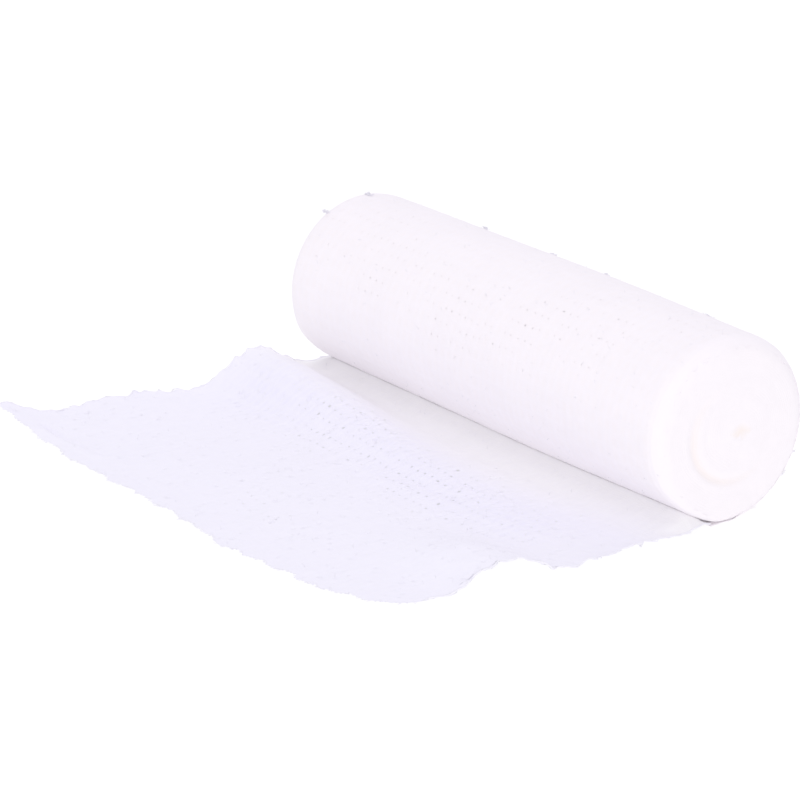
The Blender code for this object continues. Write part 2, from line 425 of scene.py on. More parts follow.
def curls(roots, headings, lengths, curl, steps, seed):
    """Paths of loose fibres: root + heading * length * t, plus a curl that grows with t: curl *
    length * sqrt(t) * (sin(wave t + phase) - sin(phase)), with a chance wave on each axis."""
    chance = np.random.default_rng(seed)
    t = np.linspace(0.0, 1.0, steps)[None, :, None]
    count = len(roots)
    waves = chance.uniform(0.6, 1.9, (count, 1, 3))
    phase = chance.uniform(0.0, TURN, (count, 1, 3))
    sway = np.sin(TURN * waves * t + phase) - np.sin(phase)
    length = lengths[:, None, None]
    return roots[:, None] + headings[:, None] * length * t + curl * length * sway * np.sqrt(t)


# --- materials ---

def linear(code):
    """An sRGB hex colour as linear RGBA."""
    value = np.array([int(code[i:i + 2], 16) for i in (1, 3, 5)]) / 255
    value = np.where(value <= 0.04045, value / 12.92, ((value + 0.055) / 1.055) ** 2.4)
    return (*value, 1.0)


def add_node(tree, kind, settings=None, **sockets):
    """Adds a node with its settings. A socket, by its name or as _ and its number, takes a value,
    or another node's output as a link."""
    node = tree.nodes.new(kind)
    for setting, value in (settings or {}).items():
        setattr(node, setting, value)
    for label, value in sockets.items():
        key = int(label[1:]) if label[1:].isdigit() else label.replace("_", " ")
        socket = node.inputs[key]
        if isinstance(value, bpy.types.NodeSocket):
            tree.links.new(value, socket)
        else:
            socket.default_value = value
    return node


def new_material(name, sockets):
    """A material, its node tree and its shader with these uniform socket values."""
    material = bpy.data.materials.new(name)
    material.use_nodes = True
    shader = material.node_tree.nodes["Principled BSDF"]
    for label, value in sockets.items():
        shader.inputs[label].default_value = value
    return material, material.node_tree, shader


def gauze(name, white, shade, painted_light_tint, bump):
    """Bleached cotton gauze with an elastic crimp: matt, fuzzy yarns that show no gloss.

    A slow mottle runs from `white` to `shade` over 9 mm and 1.6 mm, the piece's "painted_light"
    mark draws it towards `painted_light_tint`, which paints shade and tints of the light, and two
    fibre noises, drawn out along each set of yarns, roughen it.
    Real fibres are 0.015 mm thick and are drawn 0.12 mm wide, so that they show."""
    material, tree, shader = new_material(name, {
        "Roughness": 0.92,
        "IOR": 1.53,
        "Specular IOR Level": 0.18,
        "Sheen Weight": 0.12,
        "Sheen Roughness": 0.6,
        "Sheen Tint": linear("#ECEBFF"),
    })

    place = add_node(tree, "ShaderNodeTexCoord").outputs["Object"]
    slow = add_node(tree, "ShaderNodeTexNoise", Vector=place, Scale=1 / (9 * MM), Detail=2.0)
    fast = add_node(tree, "ShaderNodeTexNoise", Vector=place, Scale=1 / (1.6 * MM), Detail=3.0)
    mottle = add_node(
        tree, "ShaderNodeMath", {"operation": "ADD"}, _0=slow.outputs[0], _1=fast.outputs[0]
    )
    spread = add_node(
        tree, "ShaderNodeMapRange", _0=mottle.outputs[0], From_Min=0.75, From_Max=1.25
    )
    cloth = add_node(
        tree, "ShaderNodeMix", {"data_type": "RGBA"},
        _0=spread.outputs[0], _6=linear(shade), _7=linear(white),
    )
    # Painted light: each point's painted shade, and the tint of the light that falls there
    mark = add_node(tree, "ShaderNodeAttribute", {"attribute_name": "painted_light"})
    tinted = add_node(
        tree, "ShaderNodeMix", {"data_type": "RGBA"},
        _0=mark.outputs["Fac"], _6=cloth.outputs[2], _7=linear(painted_light_tint),
    )
    tree.links.new(tinted.outputs[2], shader.inputs["Base Color"])

    fibres = []
    for stretch in ((0.15, 1.0, 1.0), (1.0, 0.15, 0.15)):
        drawn = add_node(tree, "ShaderNodeMapping", Vector=place, Scale=stretch)
        fibre = add_node(
            tree, "ShaderNodeTexNoise", Vector=drawn.outputs[0], Scale=1 / (0.24 * MM), Detail=2.0
        )
        fibres.append(fibre.outputs[0])
    both = add_node(tree, "ShaderNodeMath", {"operation": "MAXIMUM"}, _0=fibres[0], _1=fibres[1])
    raised = add_node(
        tree, "ShaderNodeBump", Strength=bump, Distance=0.12 * MM, Height=both.outputs[0]
    )
    tree.links.new(raised.outputs[0], shader.inputs["Normal"])
    return material


def light_table(name, grey, glow):
    """Matt table of this grey that glows white, so that shadows on it stay faint. Under the gauze
    it is masked and glows less, so that its light doesn't shine up through the weave."""
    return new_material(name, {
        "Base Color": linear(grey),
        "Roughness": 0.9,
        "Specular IOR Level": 0.1,
        "Emission Color": (1.0, 1.0, 1.0, 1.0),
        "Emission Strength": glow,
    })[0]


# --- camera ---

CAMERA_AZIMUTH = 52.74  # degrees from -Y towards +X, seen from the origin
CAMERA_ELEVATION = 19.40
CAMERA_DISTANCE = 600.0  # mm
VIEW_YAW = 2.19  # degrees by which the view is turned from the origin
VIEW_PITCH = -0.53
VIEW_ROLL = -0.04
FOCAL_PIXELS = 3677.2  # of the photo's 800
PHOTO_PIXELS = 800
SENSOR = 36.0


def heading(azimuth, elevation):
    """Unit vector from the origin towards a place at these degrees."""
    a, e = np.radians(azimuth), np.radians(elevation)
    return np.array([np.sin(a) * np.cos(e), -np.cos(a) * np.cos(e), np.sin(e)])


def set_camera():
    """The camera fitted to the photo: level and up are square to the view, then rolled."""
    place = heading(CAMERA_AZIMUTH, CAMERA_ELEVATION) * CAMERA_DISTANCE * MM
    back = heading(CAMERA_AZIMUTH + VIEW_YAW, CAMERA_ELEVATION + VIEW_PITCH)
    level = np.array([-back[1], back[0], 0.0]) / np.hypot(back[0], back[1])
    up = np.cross(back, level)
    roll = np.radians(VIEW_ROLL)
    right, top = np.cos(roll) * level + np.sin(roll) * up, np.cos(roll) * up - np.sin(roll) * level
    camera = add_object("camera", bpy.data.cameras.new("camera"))
    camera.data.sensor_width = SENSOR
    camera.data.lens = FOCAL_PIXELS / PHOTO_PIXELS * SENSOR
    camera.data.clip_start = 10 * MM
    columns = np.stack([right, top, back, place], 1)
    camera.matrix_world = Matrix([*columns.tolist(), [0.0, 0.0, 0.0, 1.0]])
    bpy.context.scene.camera = camera


# --- the roll ---

def axis_at(x):
    """Height of the roll's axis, which settles towards its far end."""
    return AXIS_HEIGHT - FAR_SETTLE * (0.5 - x / GAUZE_WIDTH)


def angle_at(share):
    """Angle round the axis, from +Y, at a share of a turn from the bottom."""
    return -TURN / 4 + TURN * share


def roll_point(x, radius, angle, floor, shift=0.0):
    """A point round the roll's axis, raised to the floor where it would go under."""
    height = np.maximum(radius * np.sin(angle) + axis_at(x), floor)
    return np.stack([x, radius * np.cos(angle) + shift, height], -1)


def outer_radius(x, share):
    """Radius of the outer turn's middle: the roll's, drawn in by the lap as it goes round."""
    return side_radius(x, share) + OUTER_LAP * (0.5 - share) - OUTER_DRAWN


FACE_RIPPLES = (
    # height, length, seed
    (0.06, 6.0, 11),
    (0.01, 1.8, 21),
)
RIDGE_ROWS = (0.0, 0.7, 1.0, 0.7)  # of a fine turn, over its rows
RIDGE_MEAN = 0.6  # share of that which is left, in patches
RIDGE_SPREAD = 0.4
RIDGE_LENGTH = 4.0
RIDGE_FADE = 1.6  # radius within which the ridges fade out
TURN_WOBBLE = 0.14  # how far they stray from a true spiral, in waves of 4 mm and 2 radians
CORE_TINT = 0.8  # painted warm shade in the core's hollow, where light scatters in the cloth, uneven
CORE_TINT_SPREAD = 0.3
CORE_TINT_LENGTH = 2.0
CORE_TINT_REACH = 2.6  # and half that up and down
VALLEY_TINT = 0.04  # painted shade between the fine turns
SLIPPED_TINT = 0.3  # and painted shade in the gap along the slipped one
SLIPPED_TINT_REACH = 1.0
# painted shade at each face's centre, in the core's hole, and how far that centre sinks
CENTRE_TINT = 0.5
CENTRE_SINK = 0.3


def face_grid(side):
    """Points of one end face, rim and all, as (columns, rows, 3), and the painted shade at each
    one.

    Column c stands at the share f = c/columns of a turn, and row k on it at the radius body radius
    - pitch f - k pitch/4, so the rows run along the real spiral. Out of the face stand the rim's
    quarter round, the solids' face relief and the fine turns, each a ridge of FINE_RIDGE *
    RIDGE_ROWS, stronger in patches. The turns shift sideways by CORE_SHIFT (1 - radius/roll
    radius)^2 and wobble by a ripple."""
    share = (np.arange(ROUND_COLUMNS) / ROUND_COLUMNS)[:, None]
    angle = angle_at(share)
    straight = HALF_WIDTH - RIM_ROUND
    full = side_radius(side * straight, share) - UNDER_LAYER
    last = int((full.min() - FINE_PITCH - CORE_HOLE) / FINE_PITCH * ROWS_PER_TURN)
    row = np.arange(last + 1)[None, :]
    turns_in = share + row / ROWS_PER_TURN
    radius = full - FINE_PITCH * turns_in
    depth = FINE_PITCH * turns_in
    round_here = rim_round(share)
    short = round_here - np.minimum(depth, round_here)
    rim = round_here - np.sqrt(round_here ** 2 - short ** 2)

    on_face = ease(depth / RIM_ROUND)
    flat_y, flat_z = radius * np.cos(angle), radius * np.sin(angle)
    uneven = ripples(FACE_RIPPLES, flat_y, flat_z, side)
    ridge = np.array(RIDGE_ROWS)[row % ROWS_PER_TURN]
    strength = RIDGE_MEAN + RIDGE_SPREAD * ripple(flat_y, flat_z, RIDGE_LENGTH, 31 + side)
    fine = FINE_RIDGE * ridge * strength * ease(radius / RIDGE_FADE)
    relief = (face_relief(radius, angle) + uneven) * on_face + fine
    # Painted shade: warm in the core's hollow, between the fine turns and in the slipped turn's gap
    core = CORE_TINT + CORE_TINT_SPREAD * ripple(flat_y, flat_z, CORE_TINT_LENGTH, 51 + side)
    painted_light = core * hump(np.hypot(flat_y, 2.0 * flat_z), CORE_TINT_REACH)
    painted_light = painted_light + VALLEY_TINT * (1.0 - ridge) * on_face
    painted_light = painted_light + SLIPPED_TINT * slipped_share(radius, SLIPPED_TINT_REACH, angle)
    painted_light = np.clip(painted_light, 0.0, 1.0)

    x = side * (HALF_WIDTH - rim + relief)
    wobble = TURN_WOBBLE * ripple(radius * 1.5, angle * 3.0, 6.0, 41 + side) * on_face
    away = (radius + wobble) / roll_radius(x)
    shift = CORE_SHIFT * on_face * (1.0 - np.minimum(away, 1.0)) ** 2
    return roll_point(x, radius + wobble, angle, BODY_FLOOR, shift), painted_light


def face_faces(index, centre):
    """Quads and triangles of one end face: column by column, the last column joined to the first
    one row lower by a whole turn, and a fan to the centre inside the last turn."""
    columns, rows = index.shape
    shifted = np.full((1, rows), centre)
    shifted[0, :rows - ROWS_PER_TURN] = index[0, ROWS_PER_TURN:]
    quads = grid_faces(np.concatenate([index, shifted])).reshape(-1, 4)
    double = np.sum(quads == centre, axis=1) > 1
    inner = index[:, -1]
    fan = np.stack([inner[:-1], np.full(columns - 1, centre), inner[1:]], -1)
    return quads[~double], np.concatenate([quads[double][:, [0, 1, 2]], fan])


def numbered(grid, first):
    """A number for each point of a grid, from the first one on."""
    return first + np.arange(grid[..., 0].size).reshape(grid.shape[:2])


def last_turn(values):
    """The first row of a face's values once round, and the one it meets there a turn lower."""
    return np.append(values[:, 0], values[0, ROWS_PER_TURN])[:, None]


def make_wound_turns(material):
    """The wound turns under the outer one, closed: two spiral end faces and the side between
    them, which steps in by one pitch at the bottom, where the strip leaves the roll."""
    near, near_painted_light = face_grid(1)
    far, far_painted_light = face_grid(-1)
    near_index = numbered(near, 0)
    far_index = numbered(far, near_index.size)
    near_centre = near_index.size + far_index.size
    far_centre = near_centre + 1
    centres = [
        grid[:, -1].mean(axis=0) - [side * CENTRE_SINK, 0.0, 0.0]
        for side, grid in ((1, near), (-1, far))
    ]

    # The side: columns 0 to N, not joined, from the near face's first row to the far one's.
    share = (np.arange(ROUND_COLUMNS + 1) / ROUND_COLUMNS)[:, None]
    rim_near, rim_far = last_turn(near[..., 0]), last_turn(far[..., 0])
    step = np.arange(1, BODY_ROWS)[None, :] / BODY_ROWS
    x = rim_near + (rim_far - rim_near) * step
    radius = side_radius(x, share) - UNDER_LAYER - FINE_PITCH * share
    side_points = roll_point(x, radius, angle_at(share), BODY_FLOOR)
    inner = numbered(side_points, far_centre + 1)
    side_index = np.concatenate([last_turn(near_index), inner, last_turn(far_index)], axis=1)

    near_quads, near_fan = face_faces(near_index, near_centre)
    far_quads, far_fan = face_faces(far_index, far_centre)
    wall = grid_faces(side_index[[0, -1]])
    ends = np.stack([near_index[0, :ROWS_PER_TURN + 1], far_index[0, :ROWS_PER_TURN + 1]])
    points = np.concatenate(
        [near.reshape(-1, 3), far.reshape(-1, 3), np.array(centres), side_points.reshape(-1, 3)]
    )
    # Painted shade on the end faces and at their centres, none on the side
    painted_light = np.concatenate([
        near_painted_light.ravel(), far_painted_light.ravel(), [CENTRE_TINT] * 2, np.zeros(inner.size)
    ])
    faces = [near_quads, far_quads, grid_faces(side_index), wall, ends, near_fan, far_fan]
    piece = make_piece("wound_turns", points, faces, material, marks={"painted_light": painted_light})
    shaped = bmesh.new()
    shaped.from_mesh(piece.data)
    bmesh.ops.recalc_face_normals(shaped, faces=shaped.faces)
    shaped.to_mesh(piece.data)
    shaped.free()
    return piece


def curl_over_rim(across, before):
    """x, inward rise and bend of the strip's edges. Past the straight side they curl on an arc of
    the rim's radius: fully from the roll's bottom on (the near edge CURL_LATE further on), and
    less, by ease, up to CURL_REACH `before` it."""
    rim = rim_round(-before / (TURN * RADIUS_NEAR))
    straight = HALF_WIDTH - rim
    past = np.maximum(np.abs(across) - straight, 0.0)
    curled = ease(1.0 - (before + np.where(across > 0, CURL_LATE, 0.0)) / CURL_REACH)
    bend = past / rim * curled
    reach = past * (1.0 - curled) + rim * np.sin(past / rim) * curled
    x = np.clip(across, -straight, straight) + np.sign(across) * reach
    return x, rim * (1.0 - np.cos(bend)), bend


def edge_hug(across, from_bottom):
    """How far the strip's edges rise under the roll: hug * ease to the edge * hump along it."""
    at_edge = ease((np.abs(across) - HALF_WIDTH + HUG_WIDTH) / HUG_BLEND)
    return EDGE_HUG * at_edge * hump(from_bottom, CURL_REACH)


def outer_turn_place(across, share, lift):
    """A point of the outer turn, lifted off the cloth's middle. Its curled edges draw in by their
    rise."""
    x, rise, bend = curl_over_rim(across, -share * TURN * RADIUS_NEAR)
    radius = outer_radius(x, share) - rise + lift * np.cos(bend)
    x = x + np.sign(across) * lift * np.sin(bend)
    hug = edge_hug(across, share * TURN * RADIUS_NEAR)
    floor = OUTER_FLOOR + OUTER_LAP * np.clip(share, 0.0, 1.0) + lift * PRESSED_LIFT + hug
    return roll_point(x, radius, angle_at(share), floor)


ROLL_OPEN_MEAN = 0.34
ROLL_OPEN_RIPPLES = (
    # openness, length, seed
    (0.12, 20.0, 51),
    (0.12, 7.0, 52),
)
ROLL_OPEN_LIMITS = (0.1, 0.95)
ROLL_OPENNESS = 0.88  # share of all that which is left
ROLL_HOLE_SHARE = 0.62  # its holes are drawn closed a little by the winding
ROLL_CELL_STEP = 1.8  # mm from cell to cell across, near enough for the patches
ROLL_SCALLOP = 0.15  # small bumps of its selvedges
ROLL_SCALLOP_LENGTH = 3.0
ROLL_CRINKLE = 0.02
ROLL_CRINKLE_LENGTH = 4.5
ROLL_STAND_OFF = 0.04  # how far it lies off the turn below
ROLL_EDGE_SHARE = 0.04  # but for this share of its width at each edge
ROLL_HOLLOW_TINT = 0.07  # painted shade in the hollows between its yarns, towards the warm tint
OPEN_PATCHES = (
    # x, share of a turn from the bottom, reach in x, reach in turns, openness
    (-34, 0.60, 28, 0.17, 0.40),
    (-4, 0.66, 30, 0.15, 0.36),
    (24, 0.62, 28, 0.15, 0.31),
    (38, 0.52, 20, 0.12, 0.22),
    (-30, 0.10, 40, 0.20, 0.50),  # and round the back, which the photo doesn't show
    (20, 0.28, 40, 0.22, 0.50),
)


def make_outer_turn(material):
    """The strip's outermost turn, one woven layer laid round the wound ones. Its holes show in
    patches, where it lies a little looser: the sum of humps from the table, and ripples."""
    length = TURN * RADIUS_FAR * (1.0 + NIP_LAP)
    cells = round(length / HOLE_ROW_PITCH)
    cell_x, cell_y, cell_at = cell_grid(cells)
    step_x, step_y = cell_x * ROLL_CELL_STEP, cell_y * HOLE_ROW_PITCH
    openness = ROLL_OPEN_MEAN + ripples(ROLL_OPEN_RIPPLES, step_x, step_y)
    cell_share = (cell_y + 0.5) / cells * (1.0 + NIP_LAP) - NIP_LAP
    for x, share, reach_x, reach_share, open_here in OPEN_PATCHES:
        openness += open_here * hump(cell_at - x, reach_x) * hump(cell_share - share, reach_share)
    openness = np.clip(openness, *ROLL_OPEN_LIMITS) * ROLL_OPENNESS
    across, along, relief, quads = weave(cells, openness, 61, ROLL_HOLE_SHARE)
    scallop = ROLL_SCALLOP * ripple(along * HOLE_ROW_PITCH, 0.0, ROLL_SCALLOP_LENGTH, 71)
    width = GAUZE_WIDTH - 2 * RIM_ROUND * (1.0 - RIM_CURL) + 2 * scallop
    flat = (across / CELLS_ACROSS - 0.5) * width
    share = along / cells * (1.0 + NIP_LAP) - NIP_LAP
    crinkle = ROLL_CRINKLE * ripple(flat, share * length, ROLL_CRINKLE_LENGTH, 81)
    inside = ease((1.0 - np.abs(2 * across / CELLS_ACROSS - 1.0)) / ROLL_EDGE_SHARE)
    lift = relief * ROLL_RELIEF + (ROLL_STAND_OFF + crinkle) * inside
    points = outer_turn_place(flat, share, lift)
    uv = np.stack([flat, share * length], -1)
    # Painted shade in the hollows between the yarns
    painted_light = np.clip(-relief / YARN_FALL, 0.0, 1.0) * ROLL_HOLLOW_TINT
    piece = make_piece("outer_turn", points, [quads], material, uv, {"painted_light": painted_light})
    return piece, points


# --- the loose end ---

CREASES = (
    # from x, along, to x, along, half width, height
    (-47.5, 64.2, -39, 63.8, 0.42, -0.7),  # fine crease behind the far tip
    (-39, 63.8, -31, 62.3, 0.42, -0.6),
    (-46, 65.7, -31, 64.1, 0.9, 0.35),
    (-22, 64.6, -12, 64.4, 0.45, -0.2),
    (35, 43.5, 43, 45.5, 1.8, -0.2),  # pinch at the near corner
    (42, 45.0, 46, 50.0, 1.8, -0.2),
    (-44, 27.0, -8, 33.0, 2.2, -0.25),  # slack of the weave down the ridge
    (-18, 29.0, 24, 30.5, 1.8, -0.22),
    (4, 33.5, 38, 27.5, 1.6, 0.18),
    (-36, 40.0, 2, 52.0, 3.5, -0.18),
    (8, 58.0, 26, 47.0, 3.0, 0.12),
)

FAR_LIFT = (
    # along, how much higher the far selvedge lies than its solid
    (5, 0.0), (11, 0.5), (13, 0.5), (17, -0.7), (22, -0.5), (24, -0.5), (28, 0.3), (32, 0.1),
    (41, 0.2), (48, 0.25), (56, 0.0), (61, 0.75), (65, 0.5), (69, -0.3),
)
NEAR_LIFT = (
    # along, how much higher the near selvedge lies than its solid
    (37, 0.0), (42, -0.9), (48, -1.0), (51, -0.1),
)
NEAR_FLARE = (
    # along, how much wider the strip is at the near selvedge
    (4, 0.1), (8, 0.5), (16, 0.0), (20, -0.1), (24, 1.3), (30, 1.2), (36, 0.6), (41, 0.0),
)
LIFT_REACH = 11.0  # from a selvedge over which these three fade
DROOP_FAR = 7.0  # and over which the slope out of the nip comes down to its edge share
DROOP_NEAR = 3.0
EDGE_SHARE = 0.35


def crease_height(x, along):
    """The sum of the creases, each height * exp(-(distance from its line/half width)^2)."""
    total = np.zeros(np.broadcast(x, along).shape)
    for x0, along0, x1, along1, half, height in CREASES:
        run_x, run_along = x1 - x0, along1 - along0
        share = ((x - x0) * run_x + (along - along0) * run_along) / (run_x ** 2 + run_along ** 2)
        nearest = np.clip(share, 0.0, 1.0)
        away = np.hypot(x - x0 - run_x * nearest, along - along0 - run_along * nearest)
        total += height * np.exp(-((away / half) ** 2))
    return total


CUT_END_TRIM = (
    # across, how much longer the strip is there than its solid
    (-50, 1.9), (-48.5, 1.5), (-46, 0.4), (-43, -0.3), (-38, -0.2), (-30, 0.1), (-8, -0.25),
    (1, 0.0), (12, 1.0), (18, 0.75), (25, 0.0), (36, 0.3), (44, 0.8), (50, 1.0),
)
TRIM_REACH = 16.0  # from the cut end over which that fades
CUT_END_SCALLOPS = (
    # height, length, seed
    (0.24, 2.9, 211),
    (0.12, 1.45, 212),
)
SELVEDGE_SCALLOPS = (
    (0.24, 2.9, 221),
    (0.192, 2.9 / 2.4, 222),
)
SCALLOP_REACH = 1.5
CALM_SHARE = 0.3  # share of them that is left at the far tip
CALM_TO = -34.0  # across, from which they grow to full over the next length
CALM_BLEND = 12.0
EDGE_RUFFLE = 0.26  # how far the edges stand up and down
RUFFLE_LENGTH = 2.3
RUFFLE_REACH = 2.0
RUFFLE_FROM = 9.0  # along, and over this length on
RUFFLE_BLEND = 4.0

BAND_AT = 26.5  # along, where the cloth is stretched open
BAND_SLANT = 0.03
BAND_SWAY = 1.5
BAND_REACH = 11.0
BAND_END = 47.0  # mm to each side of x = -3, and fading over the last of them
BAND_BLEND = 12.0


def open_band(x, along):
    """1 on the slope behind the ridge, where the cloth is stretched open, and 0 away from it: a
    hump along the strip, slanted and swaying by a sine, eased out at both ends."""
    middle = BAND_AT + BAND_SLANT * (x + 10.0) + BAND_SWAY * np.sin(x / 9.0)
    return hump(along - middle, BAND_REACH) * ease((BAND_END - np.abs(x + 3.0)) / BAND_BLEND)


def loose_end_place(across, down):
    """x and along of a place across the strip and a share down it: down the straight strip to the
    cut end, with the solids' edge waves and far flare, the trim of the cut end and of the near
    selvedge, and scallops: ripples of two lengths on every edge, calmer at the far tip."""
    scallop = ripples(CUT_END_SCALLOPS, across, 0.0)
    scallop = scallop * blend(CALM_SHARE, 1.0, (across - CALM_TO) / CALM_BLEND)
    ragged = read_rows(CUT_END_TRIM, across) + scallop
    along = TAIL_START + (cut_end_at(across) - TAIL_START) * down
    along = along + ragged * fading(LOOSE_LENGTH - along, TRIM_REACH)
    from_near, from_far, from_selvedge = edge_distances(across)
    wave = edge_wave(along + across) * fading(from_selvedge, EDGE_REACH)
    scallop = ripples(SELVEDGE_SCALLOPS, along, across)
    wave = wave + scallop * fading(from_selvedge, SCALLOP_REACH)
    wave = wave * ease((along - SHEET_START) / EDGE_WAVE_LENGTH)
    flare = read_rows(FAR_SELVEDGE, along) * fading(from_far, FLARE_REACH)
    near_flare = read_rows(NEAR_FLARE, along) * fading(from_near, LIFT_REACH)
    return across - flare + near_flare + np.sign(across) * wave, along


def room_under_roll(x, along):
    """Height of the outer turn's underside over the floor, and infinite beyond the roll."""
    inside = np.minimum(along, roll_radius(x) - 1.0)
    share = 1.0 - np.arcsin(inside / roll_radius(x)) / TURN
    room = axis_at(x) - np.sqrt(outer_radius(x, share) ** 2 - inside ** 2)
    return np.where(along < roll_radius(x) - 1.0, room, np.inf)


def cloth_height(across, x, along):
    """Height of the cloth's middle: its solid's folds, a share of that solid's thickness, the
    ruffle of its edges, its creases and the lift of its selvedges. Springy gauze leaves the roll's
    underside on a slope, leaving = NIP_HEIGHT fading + NIP_STEP exp(-beyond/NIP_DROP), lower at
    its edges, and the height is sqrt(height^2 + leaving^2). Under the roll it takes NIP_SHARE of
    the room where it starts, and soon all of it. Also how freely it lies, from 0.1 in the nip to
    1 where the room is 1.2 mm."""
    folds = fold_height(x, along)
    height = folds + blend(CLOTH_LOW, CLOTH_HIGH, folds / FULL_FOLD)
    from_near, from_far, from_selvedge = edge_distances(across)
    ruffle = 1.0 + ripple(along, across, RUFFLE_LENGTH, 231, 14)
    ruffle = ruffle * ease((along - RUFFLE_FROM) / RUFFLE_BLEND)
    height = height + EDGE_RUFFLE * ruffle * fading(from_selvedge, RUFFLE_REACH)
    beyond = np.maximum(along - NIP_END, 0.0)
    leaving = NIP_HEIGHT * fading(beyond, NIP_SLOPE) + NIP_STEP * np.exp(-beyond / NIP_DROP)
    droop = np.where(across > 0, DROOP_NEAR, DROOP_FAR)
    leaving = leaving * blend(EDGE_SHARE, 1.0, from_selvedge / droop)
    height = np.sqrt(height ** 2 + leaving ** 2) + crease_height(x, along)
    height = height + read_rows(FAR_LIFT, along) * fading(from_far, LIFT_REACH)
    height = height + read_rows(NEAR_LIFT, along) * fading(from_near, LIFT_REACH)
    room = room_under_roll(x, along)
    taken = blend(NIP_SHARE, 1.0, (along - TAIL_START) / NIP_TAKEN)
    height = np.maximum(np.minimum(height, taken * room), CLOTH_FLOOR)
    return height, np.clip(room / 1.2, 0.1, 1.0)


OPEN_MEAN = 0.4  # openness of the loose end's cells
OPEN_SPREAD = 0.2  # and by how much it varies, in patches of this length
OPEN_LENGTH = 22.0
OPEN_BAND = 0.38  # more where it is stretched open
OPEN_LIMITS = (0.2, 0.76)
OPEN_FADES = (
    # measured from the nip, the edges and the far side: closed up to here, open after this length
    (10.0, 9.0),
    (3.0, 9.0),
    (4.0, 22.0),
)
LOOSE_RELIEF = 0.14  # share of the yarns' relief that is left in the loose end
LOOSE_STAND_OFF = 0.1
CRINKLES = (
    # length, seed, waves, height, more in the open band
    (4.2, 111, 10, 0.03, 0.03),
    (1.1, 121, 40, 0.014, 0.056),
)
NICK_LENGTH = 1.5  # small dents where yarns cross: what is left of a ripple over this level
NICK_LEVEL = 0.95
NICKS_FROM = 14.0  # along, and over this length on
NICKS_BLEND = 6.0
HOLLOW_TINT = 0.08  # painted shade in the hollows between its yarns, towards the lavender tint
HOLLOW_TINT_BAND = 0.2  # and more of it in the open band
# painted shade on the open band's slope, where the stretched cloth is also sheerer
BAND_TINT = 0.1
COOL_LIGHT_TINT = 0.6  # painted cool light: all of the lavender tint where no roll stands over it
SHADE_END = 13.0  # along, to which the shade by the roll reaches
SHADE_END_NEAR = 7.0  # and at its near end


def make_loose_end(material):
    """The free cloth: one woven layer on its solid's folds, crinkled by ripples, and stretched
    open in a band."""
    cells = round((LOOSE_LENGTH - TAIL_START) / HOLE_ROW_PITCH)
    _, cell_y, at_x = cell_grid(cells)
    at_along = TAIL_START + (cell_y + 0.5) * HOLE_ROW_PITCH
    openness = OPEN_MEAN + OPEN_SPREAD * ripple(at_x, at_along, OPEN_LENGTH, 91)
    openness = np.clip(openness + OPEN_BAND * open_band(at_x, at_along), *OPEN_LIMITS)
    _, from_far, from_edge = edge_distances(at_x)
    from_edge = np.minimum(from_edge, LOOSE_LENGTH - at_along)
    for distance, (closed, reach) in zip((at_along, from_edge, from_far), OPEN_FADES):
        openness = openness * ease((distance - closed) / reach)
    across, along, relief, quads = weave(cells, openness, 101)
    across = (across / CELLS_ACROSS - 0.5) * GAUZE_WIDTH
    x, along = loose_end_place(across, along / cells)
    height, freedom = cloth_height(across, x, along)
    curled, rise, _ = curl_over_rim(x, along)
    x = np.where(along < CURL_REACH, curled, x)
    height = height + rise + edge_hug(across, along)
    band = open_band(x, along)
    crinkle = LOOSE_STAND_OFF
    for length, seed, waves, plain, more in CRINKLES:
        crinkle = crinkle + ripple(x, along, length, seed, waves) * (plain + more * band)
    nicks = np.maximum(ripple(x, along, NICK_LENGTH, 125, 60) - NICK_LEVEL, 0.0)
    crinkle = crinkle - nicks * ease((along - NICKS_FROM) / NICKS_BLEND)
    lift = (relief * LOOSE_RELIEF + crinkle) * freedom
    z = np.minimum(height + lift, room_under_roll(x, along) + rise - 0.02)
    points = np.stack([x, -along, np.maximum(z, YARN_FLOOR)], -1)
    # Painted light: shade in the hollows and on the open band, which is also sheerer, and the cool
    # light's lavender where the roll's shade ends
    hollow = np.clip(-relief / YARN_FALL, 0.0, 1.0) * (HOLLOW_TINT + HOLLOW_TINT_BAND * band)
    shaded = blend(SHADE_END, SHADE_END_NEAR, (x - 12.0) / 34.0)
    cool_light = COOL_LIGHT_TINT * ease((along - shaded) / SHADE_END)
    painted_light = np.clip(cool_light + BAND_TINT * band + hollow, 0.0, 1.0)
    uv = np.stack([across, along], -1)
    piece = make_piece("loose_end_gauze", points, [quads], material, uv, {"painted_light": painted_light})
    return piece, points


# --- edges, cut threads and lint (mm) ---

LOOSE_CORD = 0.13  # radius of the selvedge cords of the loose end
WOUND_CORD = 0.07  # and of the roll, where they are drawn tight
CORD_SPREAD = (0.75, 1.25)
LOOP_REACH = (0.1, 0.6)  # how far the wefts' loops stand out of a selvedge
LOOP_SHARE = 0.75  # share of a cell along which a loop runs
LOOP_THICKNESS = 0.65  # share of the cord's
LOOP_STEPS = 6


def edge_loops(line, outward, seed):
    """A loop at each weft: points of the edge, moved out of it by reach * sin(pi step/steps)."""
    chance = np.random.default_rng(seed)
    starts = np.arange(1, len(line) - CELL_ROWS, CELL_ROWS)
    steps = np.arange(LOOP_STEPS + 1) / LOOP_STEPS
    at = starts[:, None] + np.rint(steps * CELL_ROWS * LOOP_SHARE).astype(int)
    reach = chance.uniform(*LOOP_REACH, len(starts))[:, None]
    return line[at] + outward[at] * (reach * np.sin(np.pi * steps))[..., None]


def outward_of(grid, first):
    """Unit vectors out of a grid's first or last column, away from the column beside it."""
    edge, beside = (grid[0], grid[3]) if first else (grid[-1], grid[-4])
    return unit(edge - beside)


def keep_above(paths, height):
    """Raises the paths to this height over the table where they are lower."""
    paths[..., 2] = np.maximum(paths[..., 2], height)
    return paths


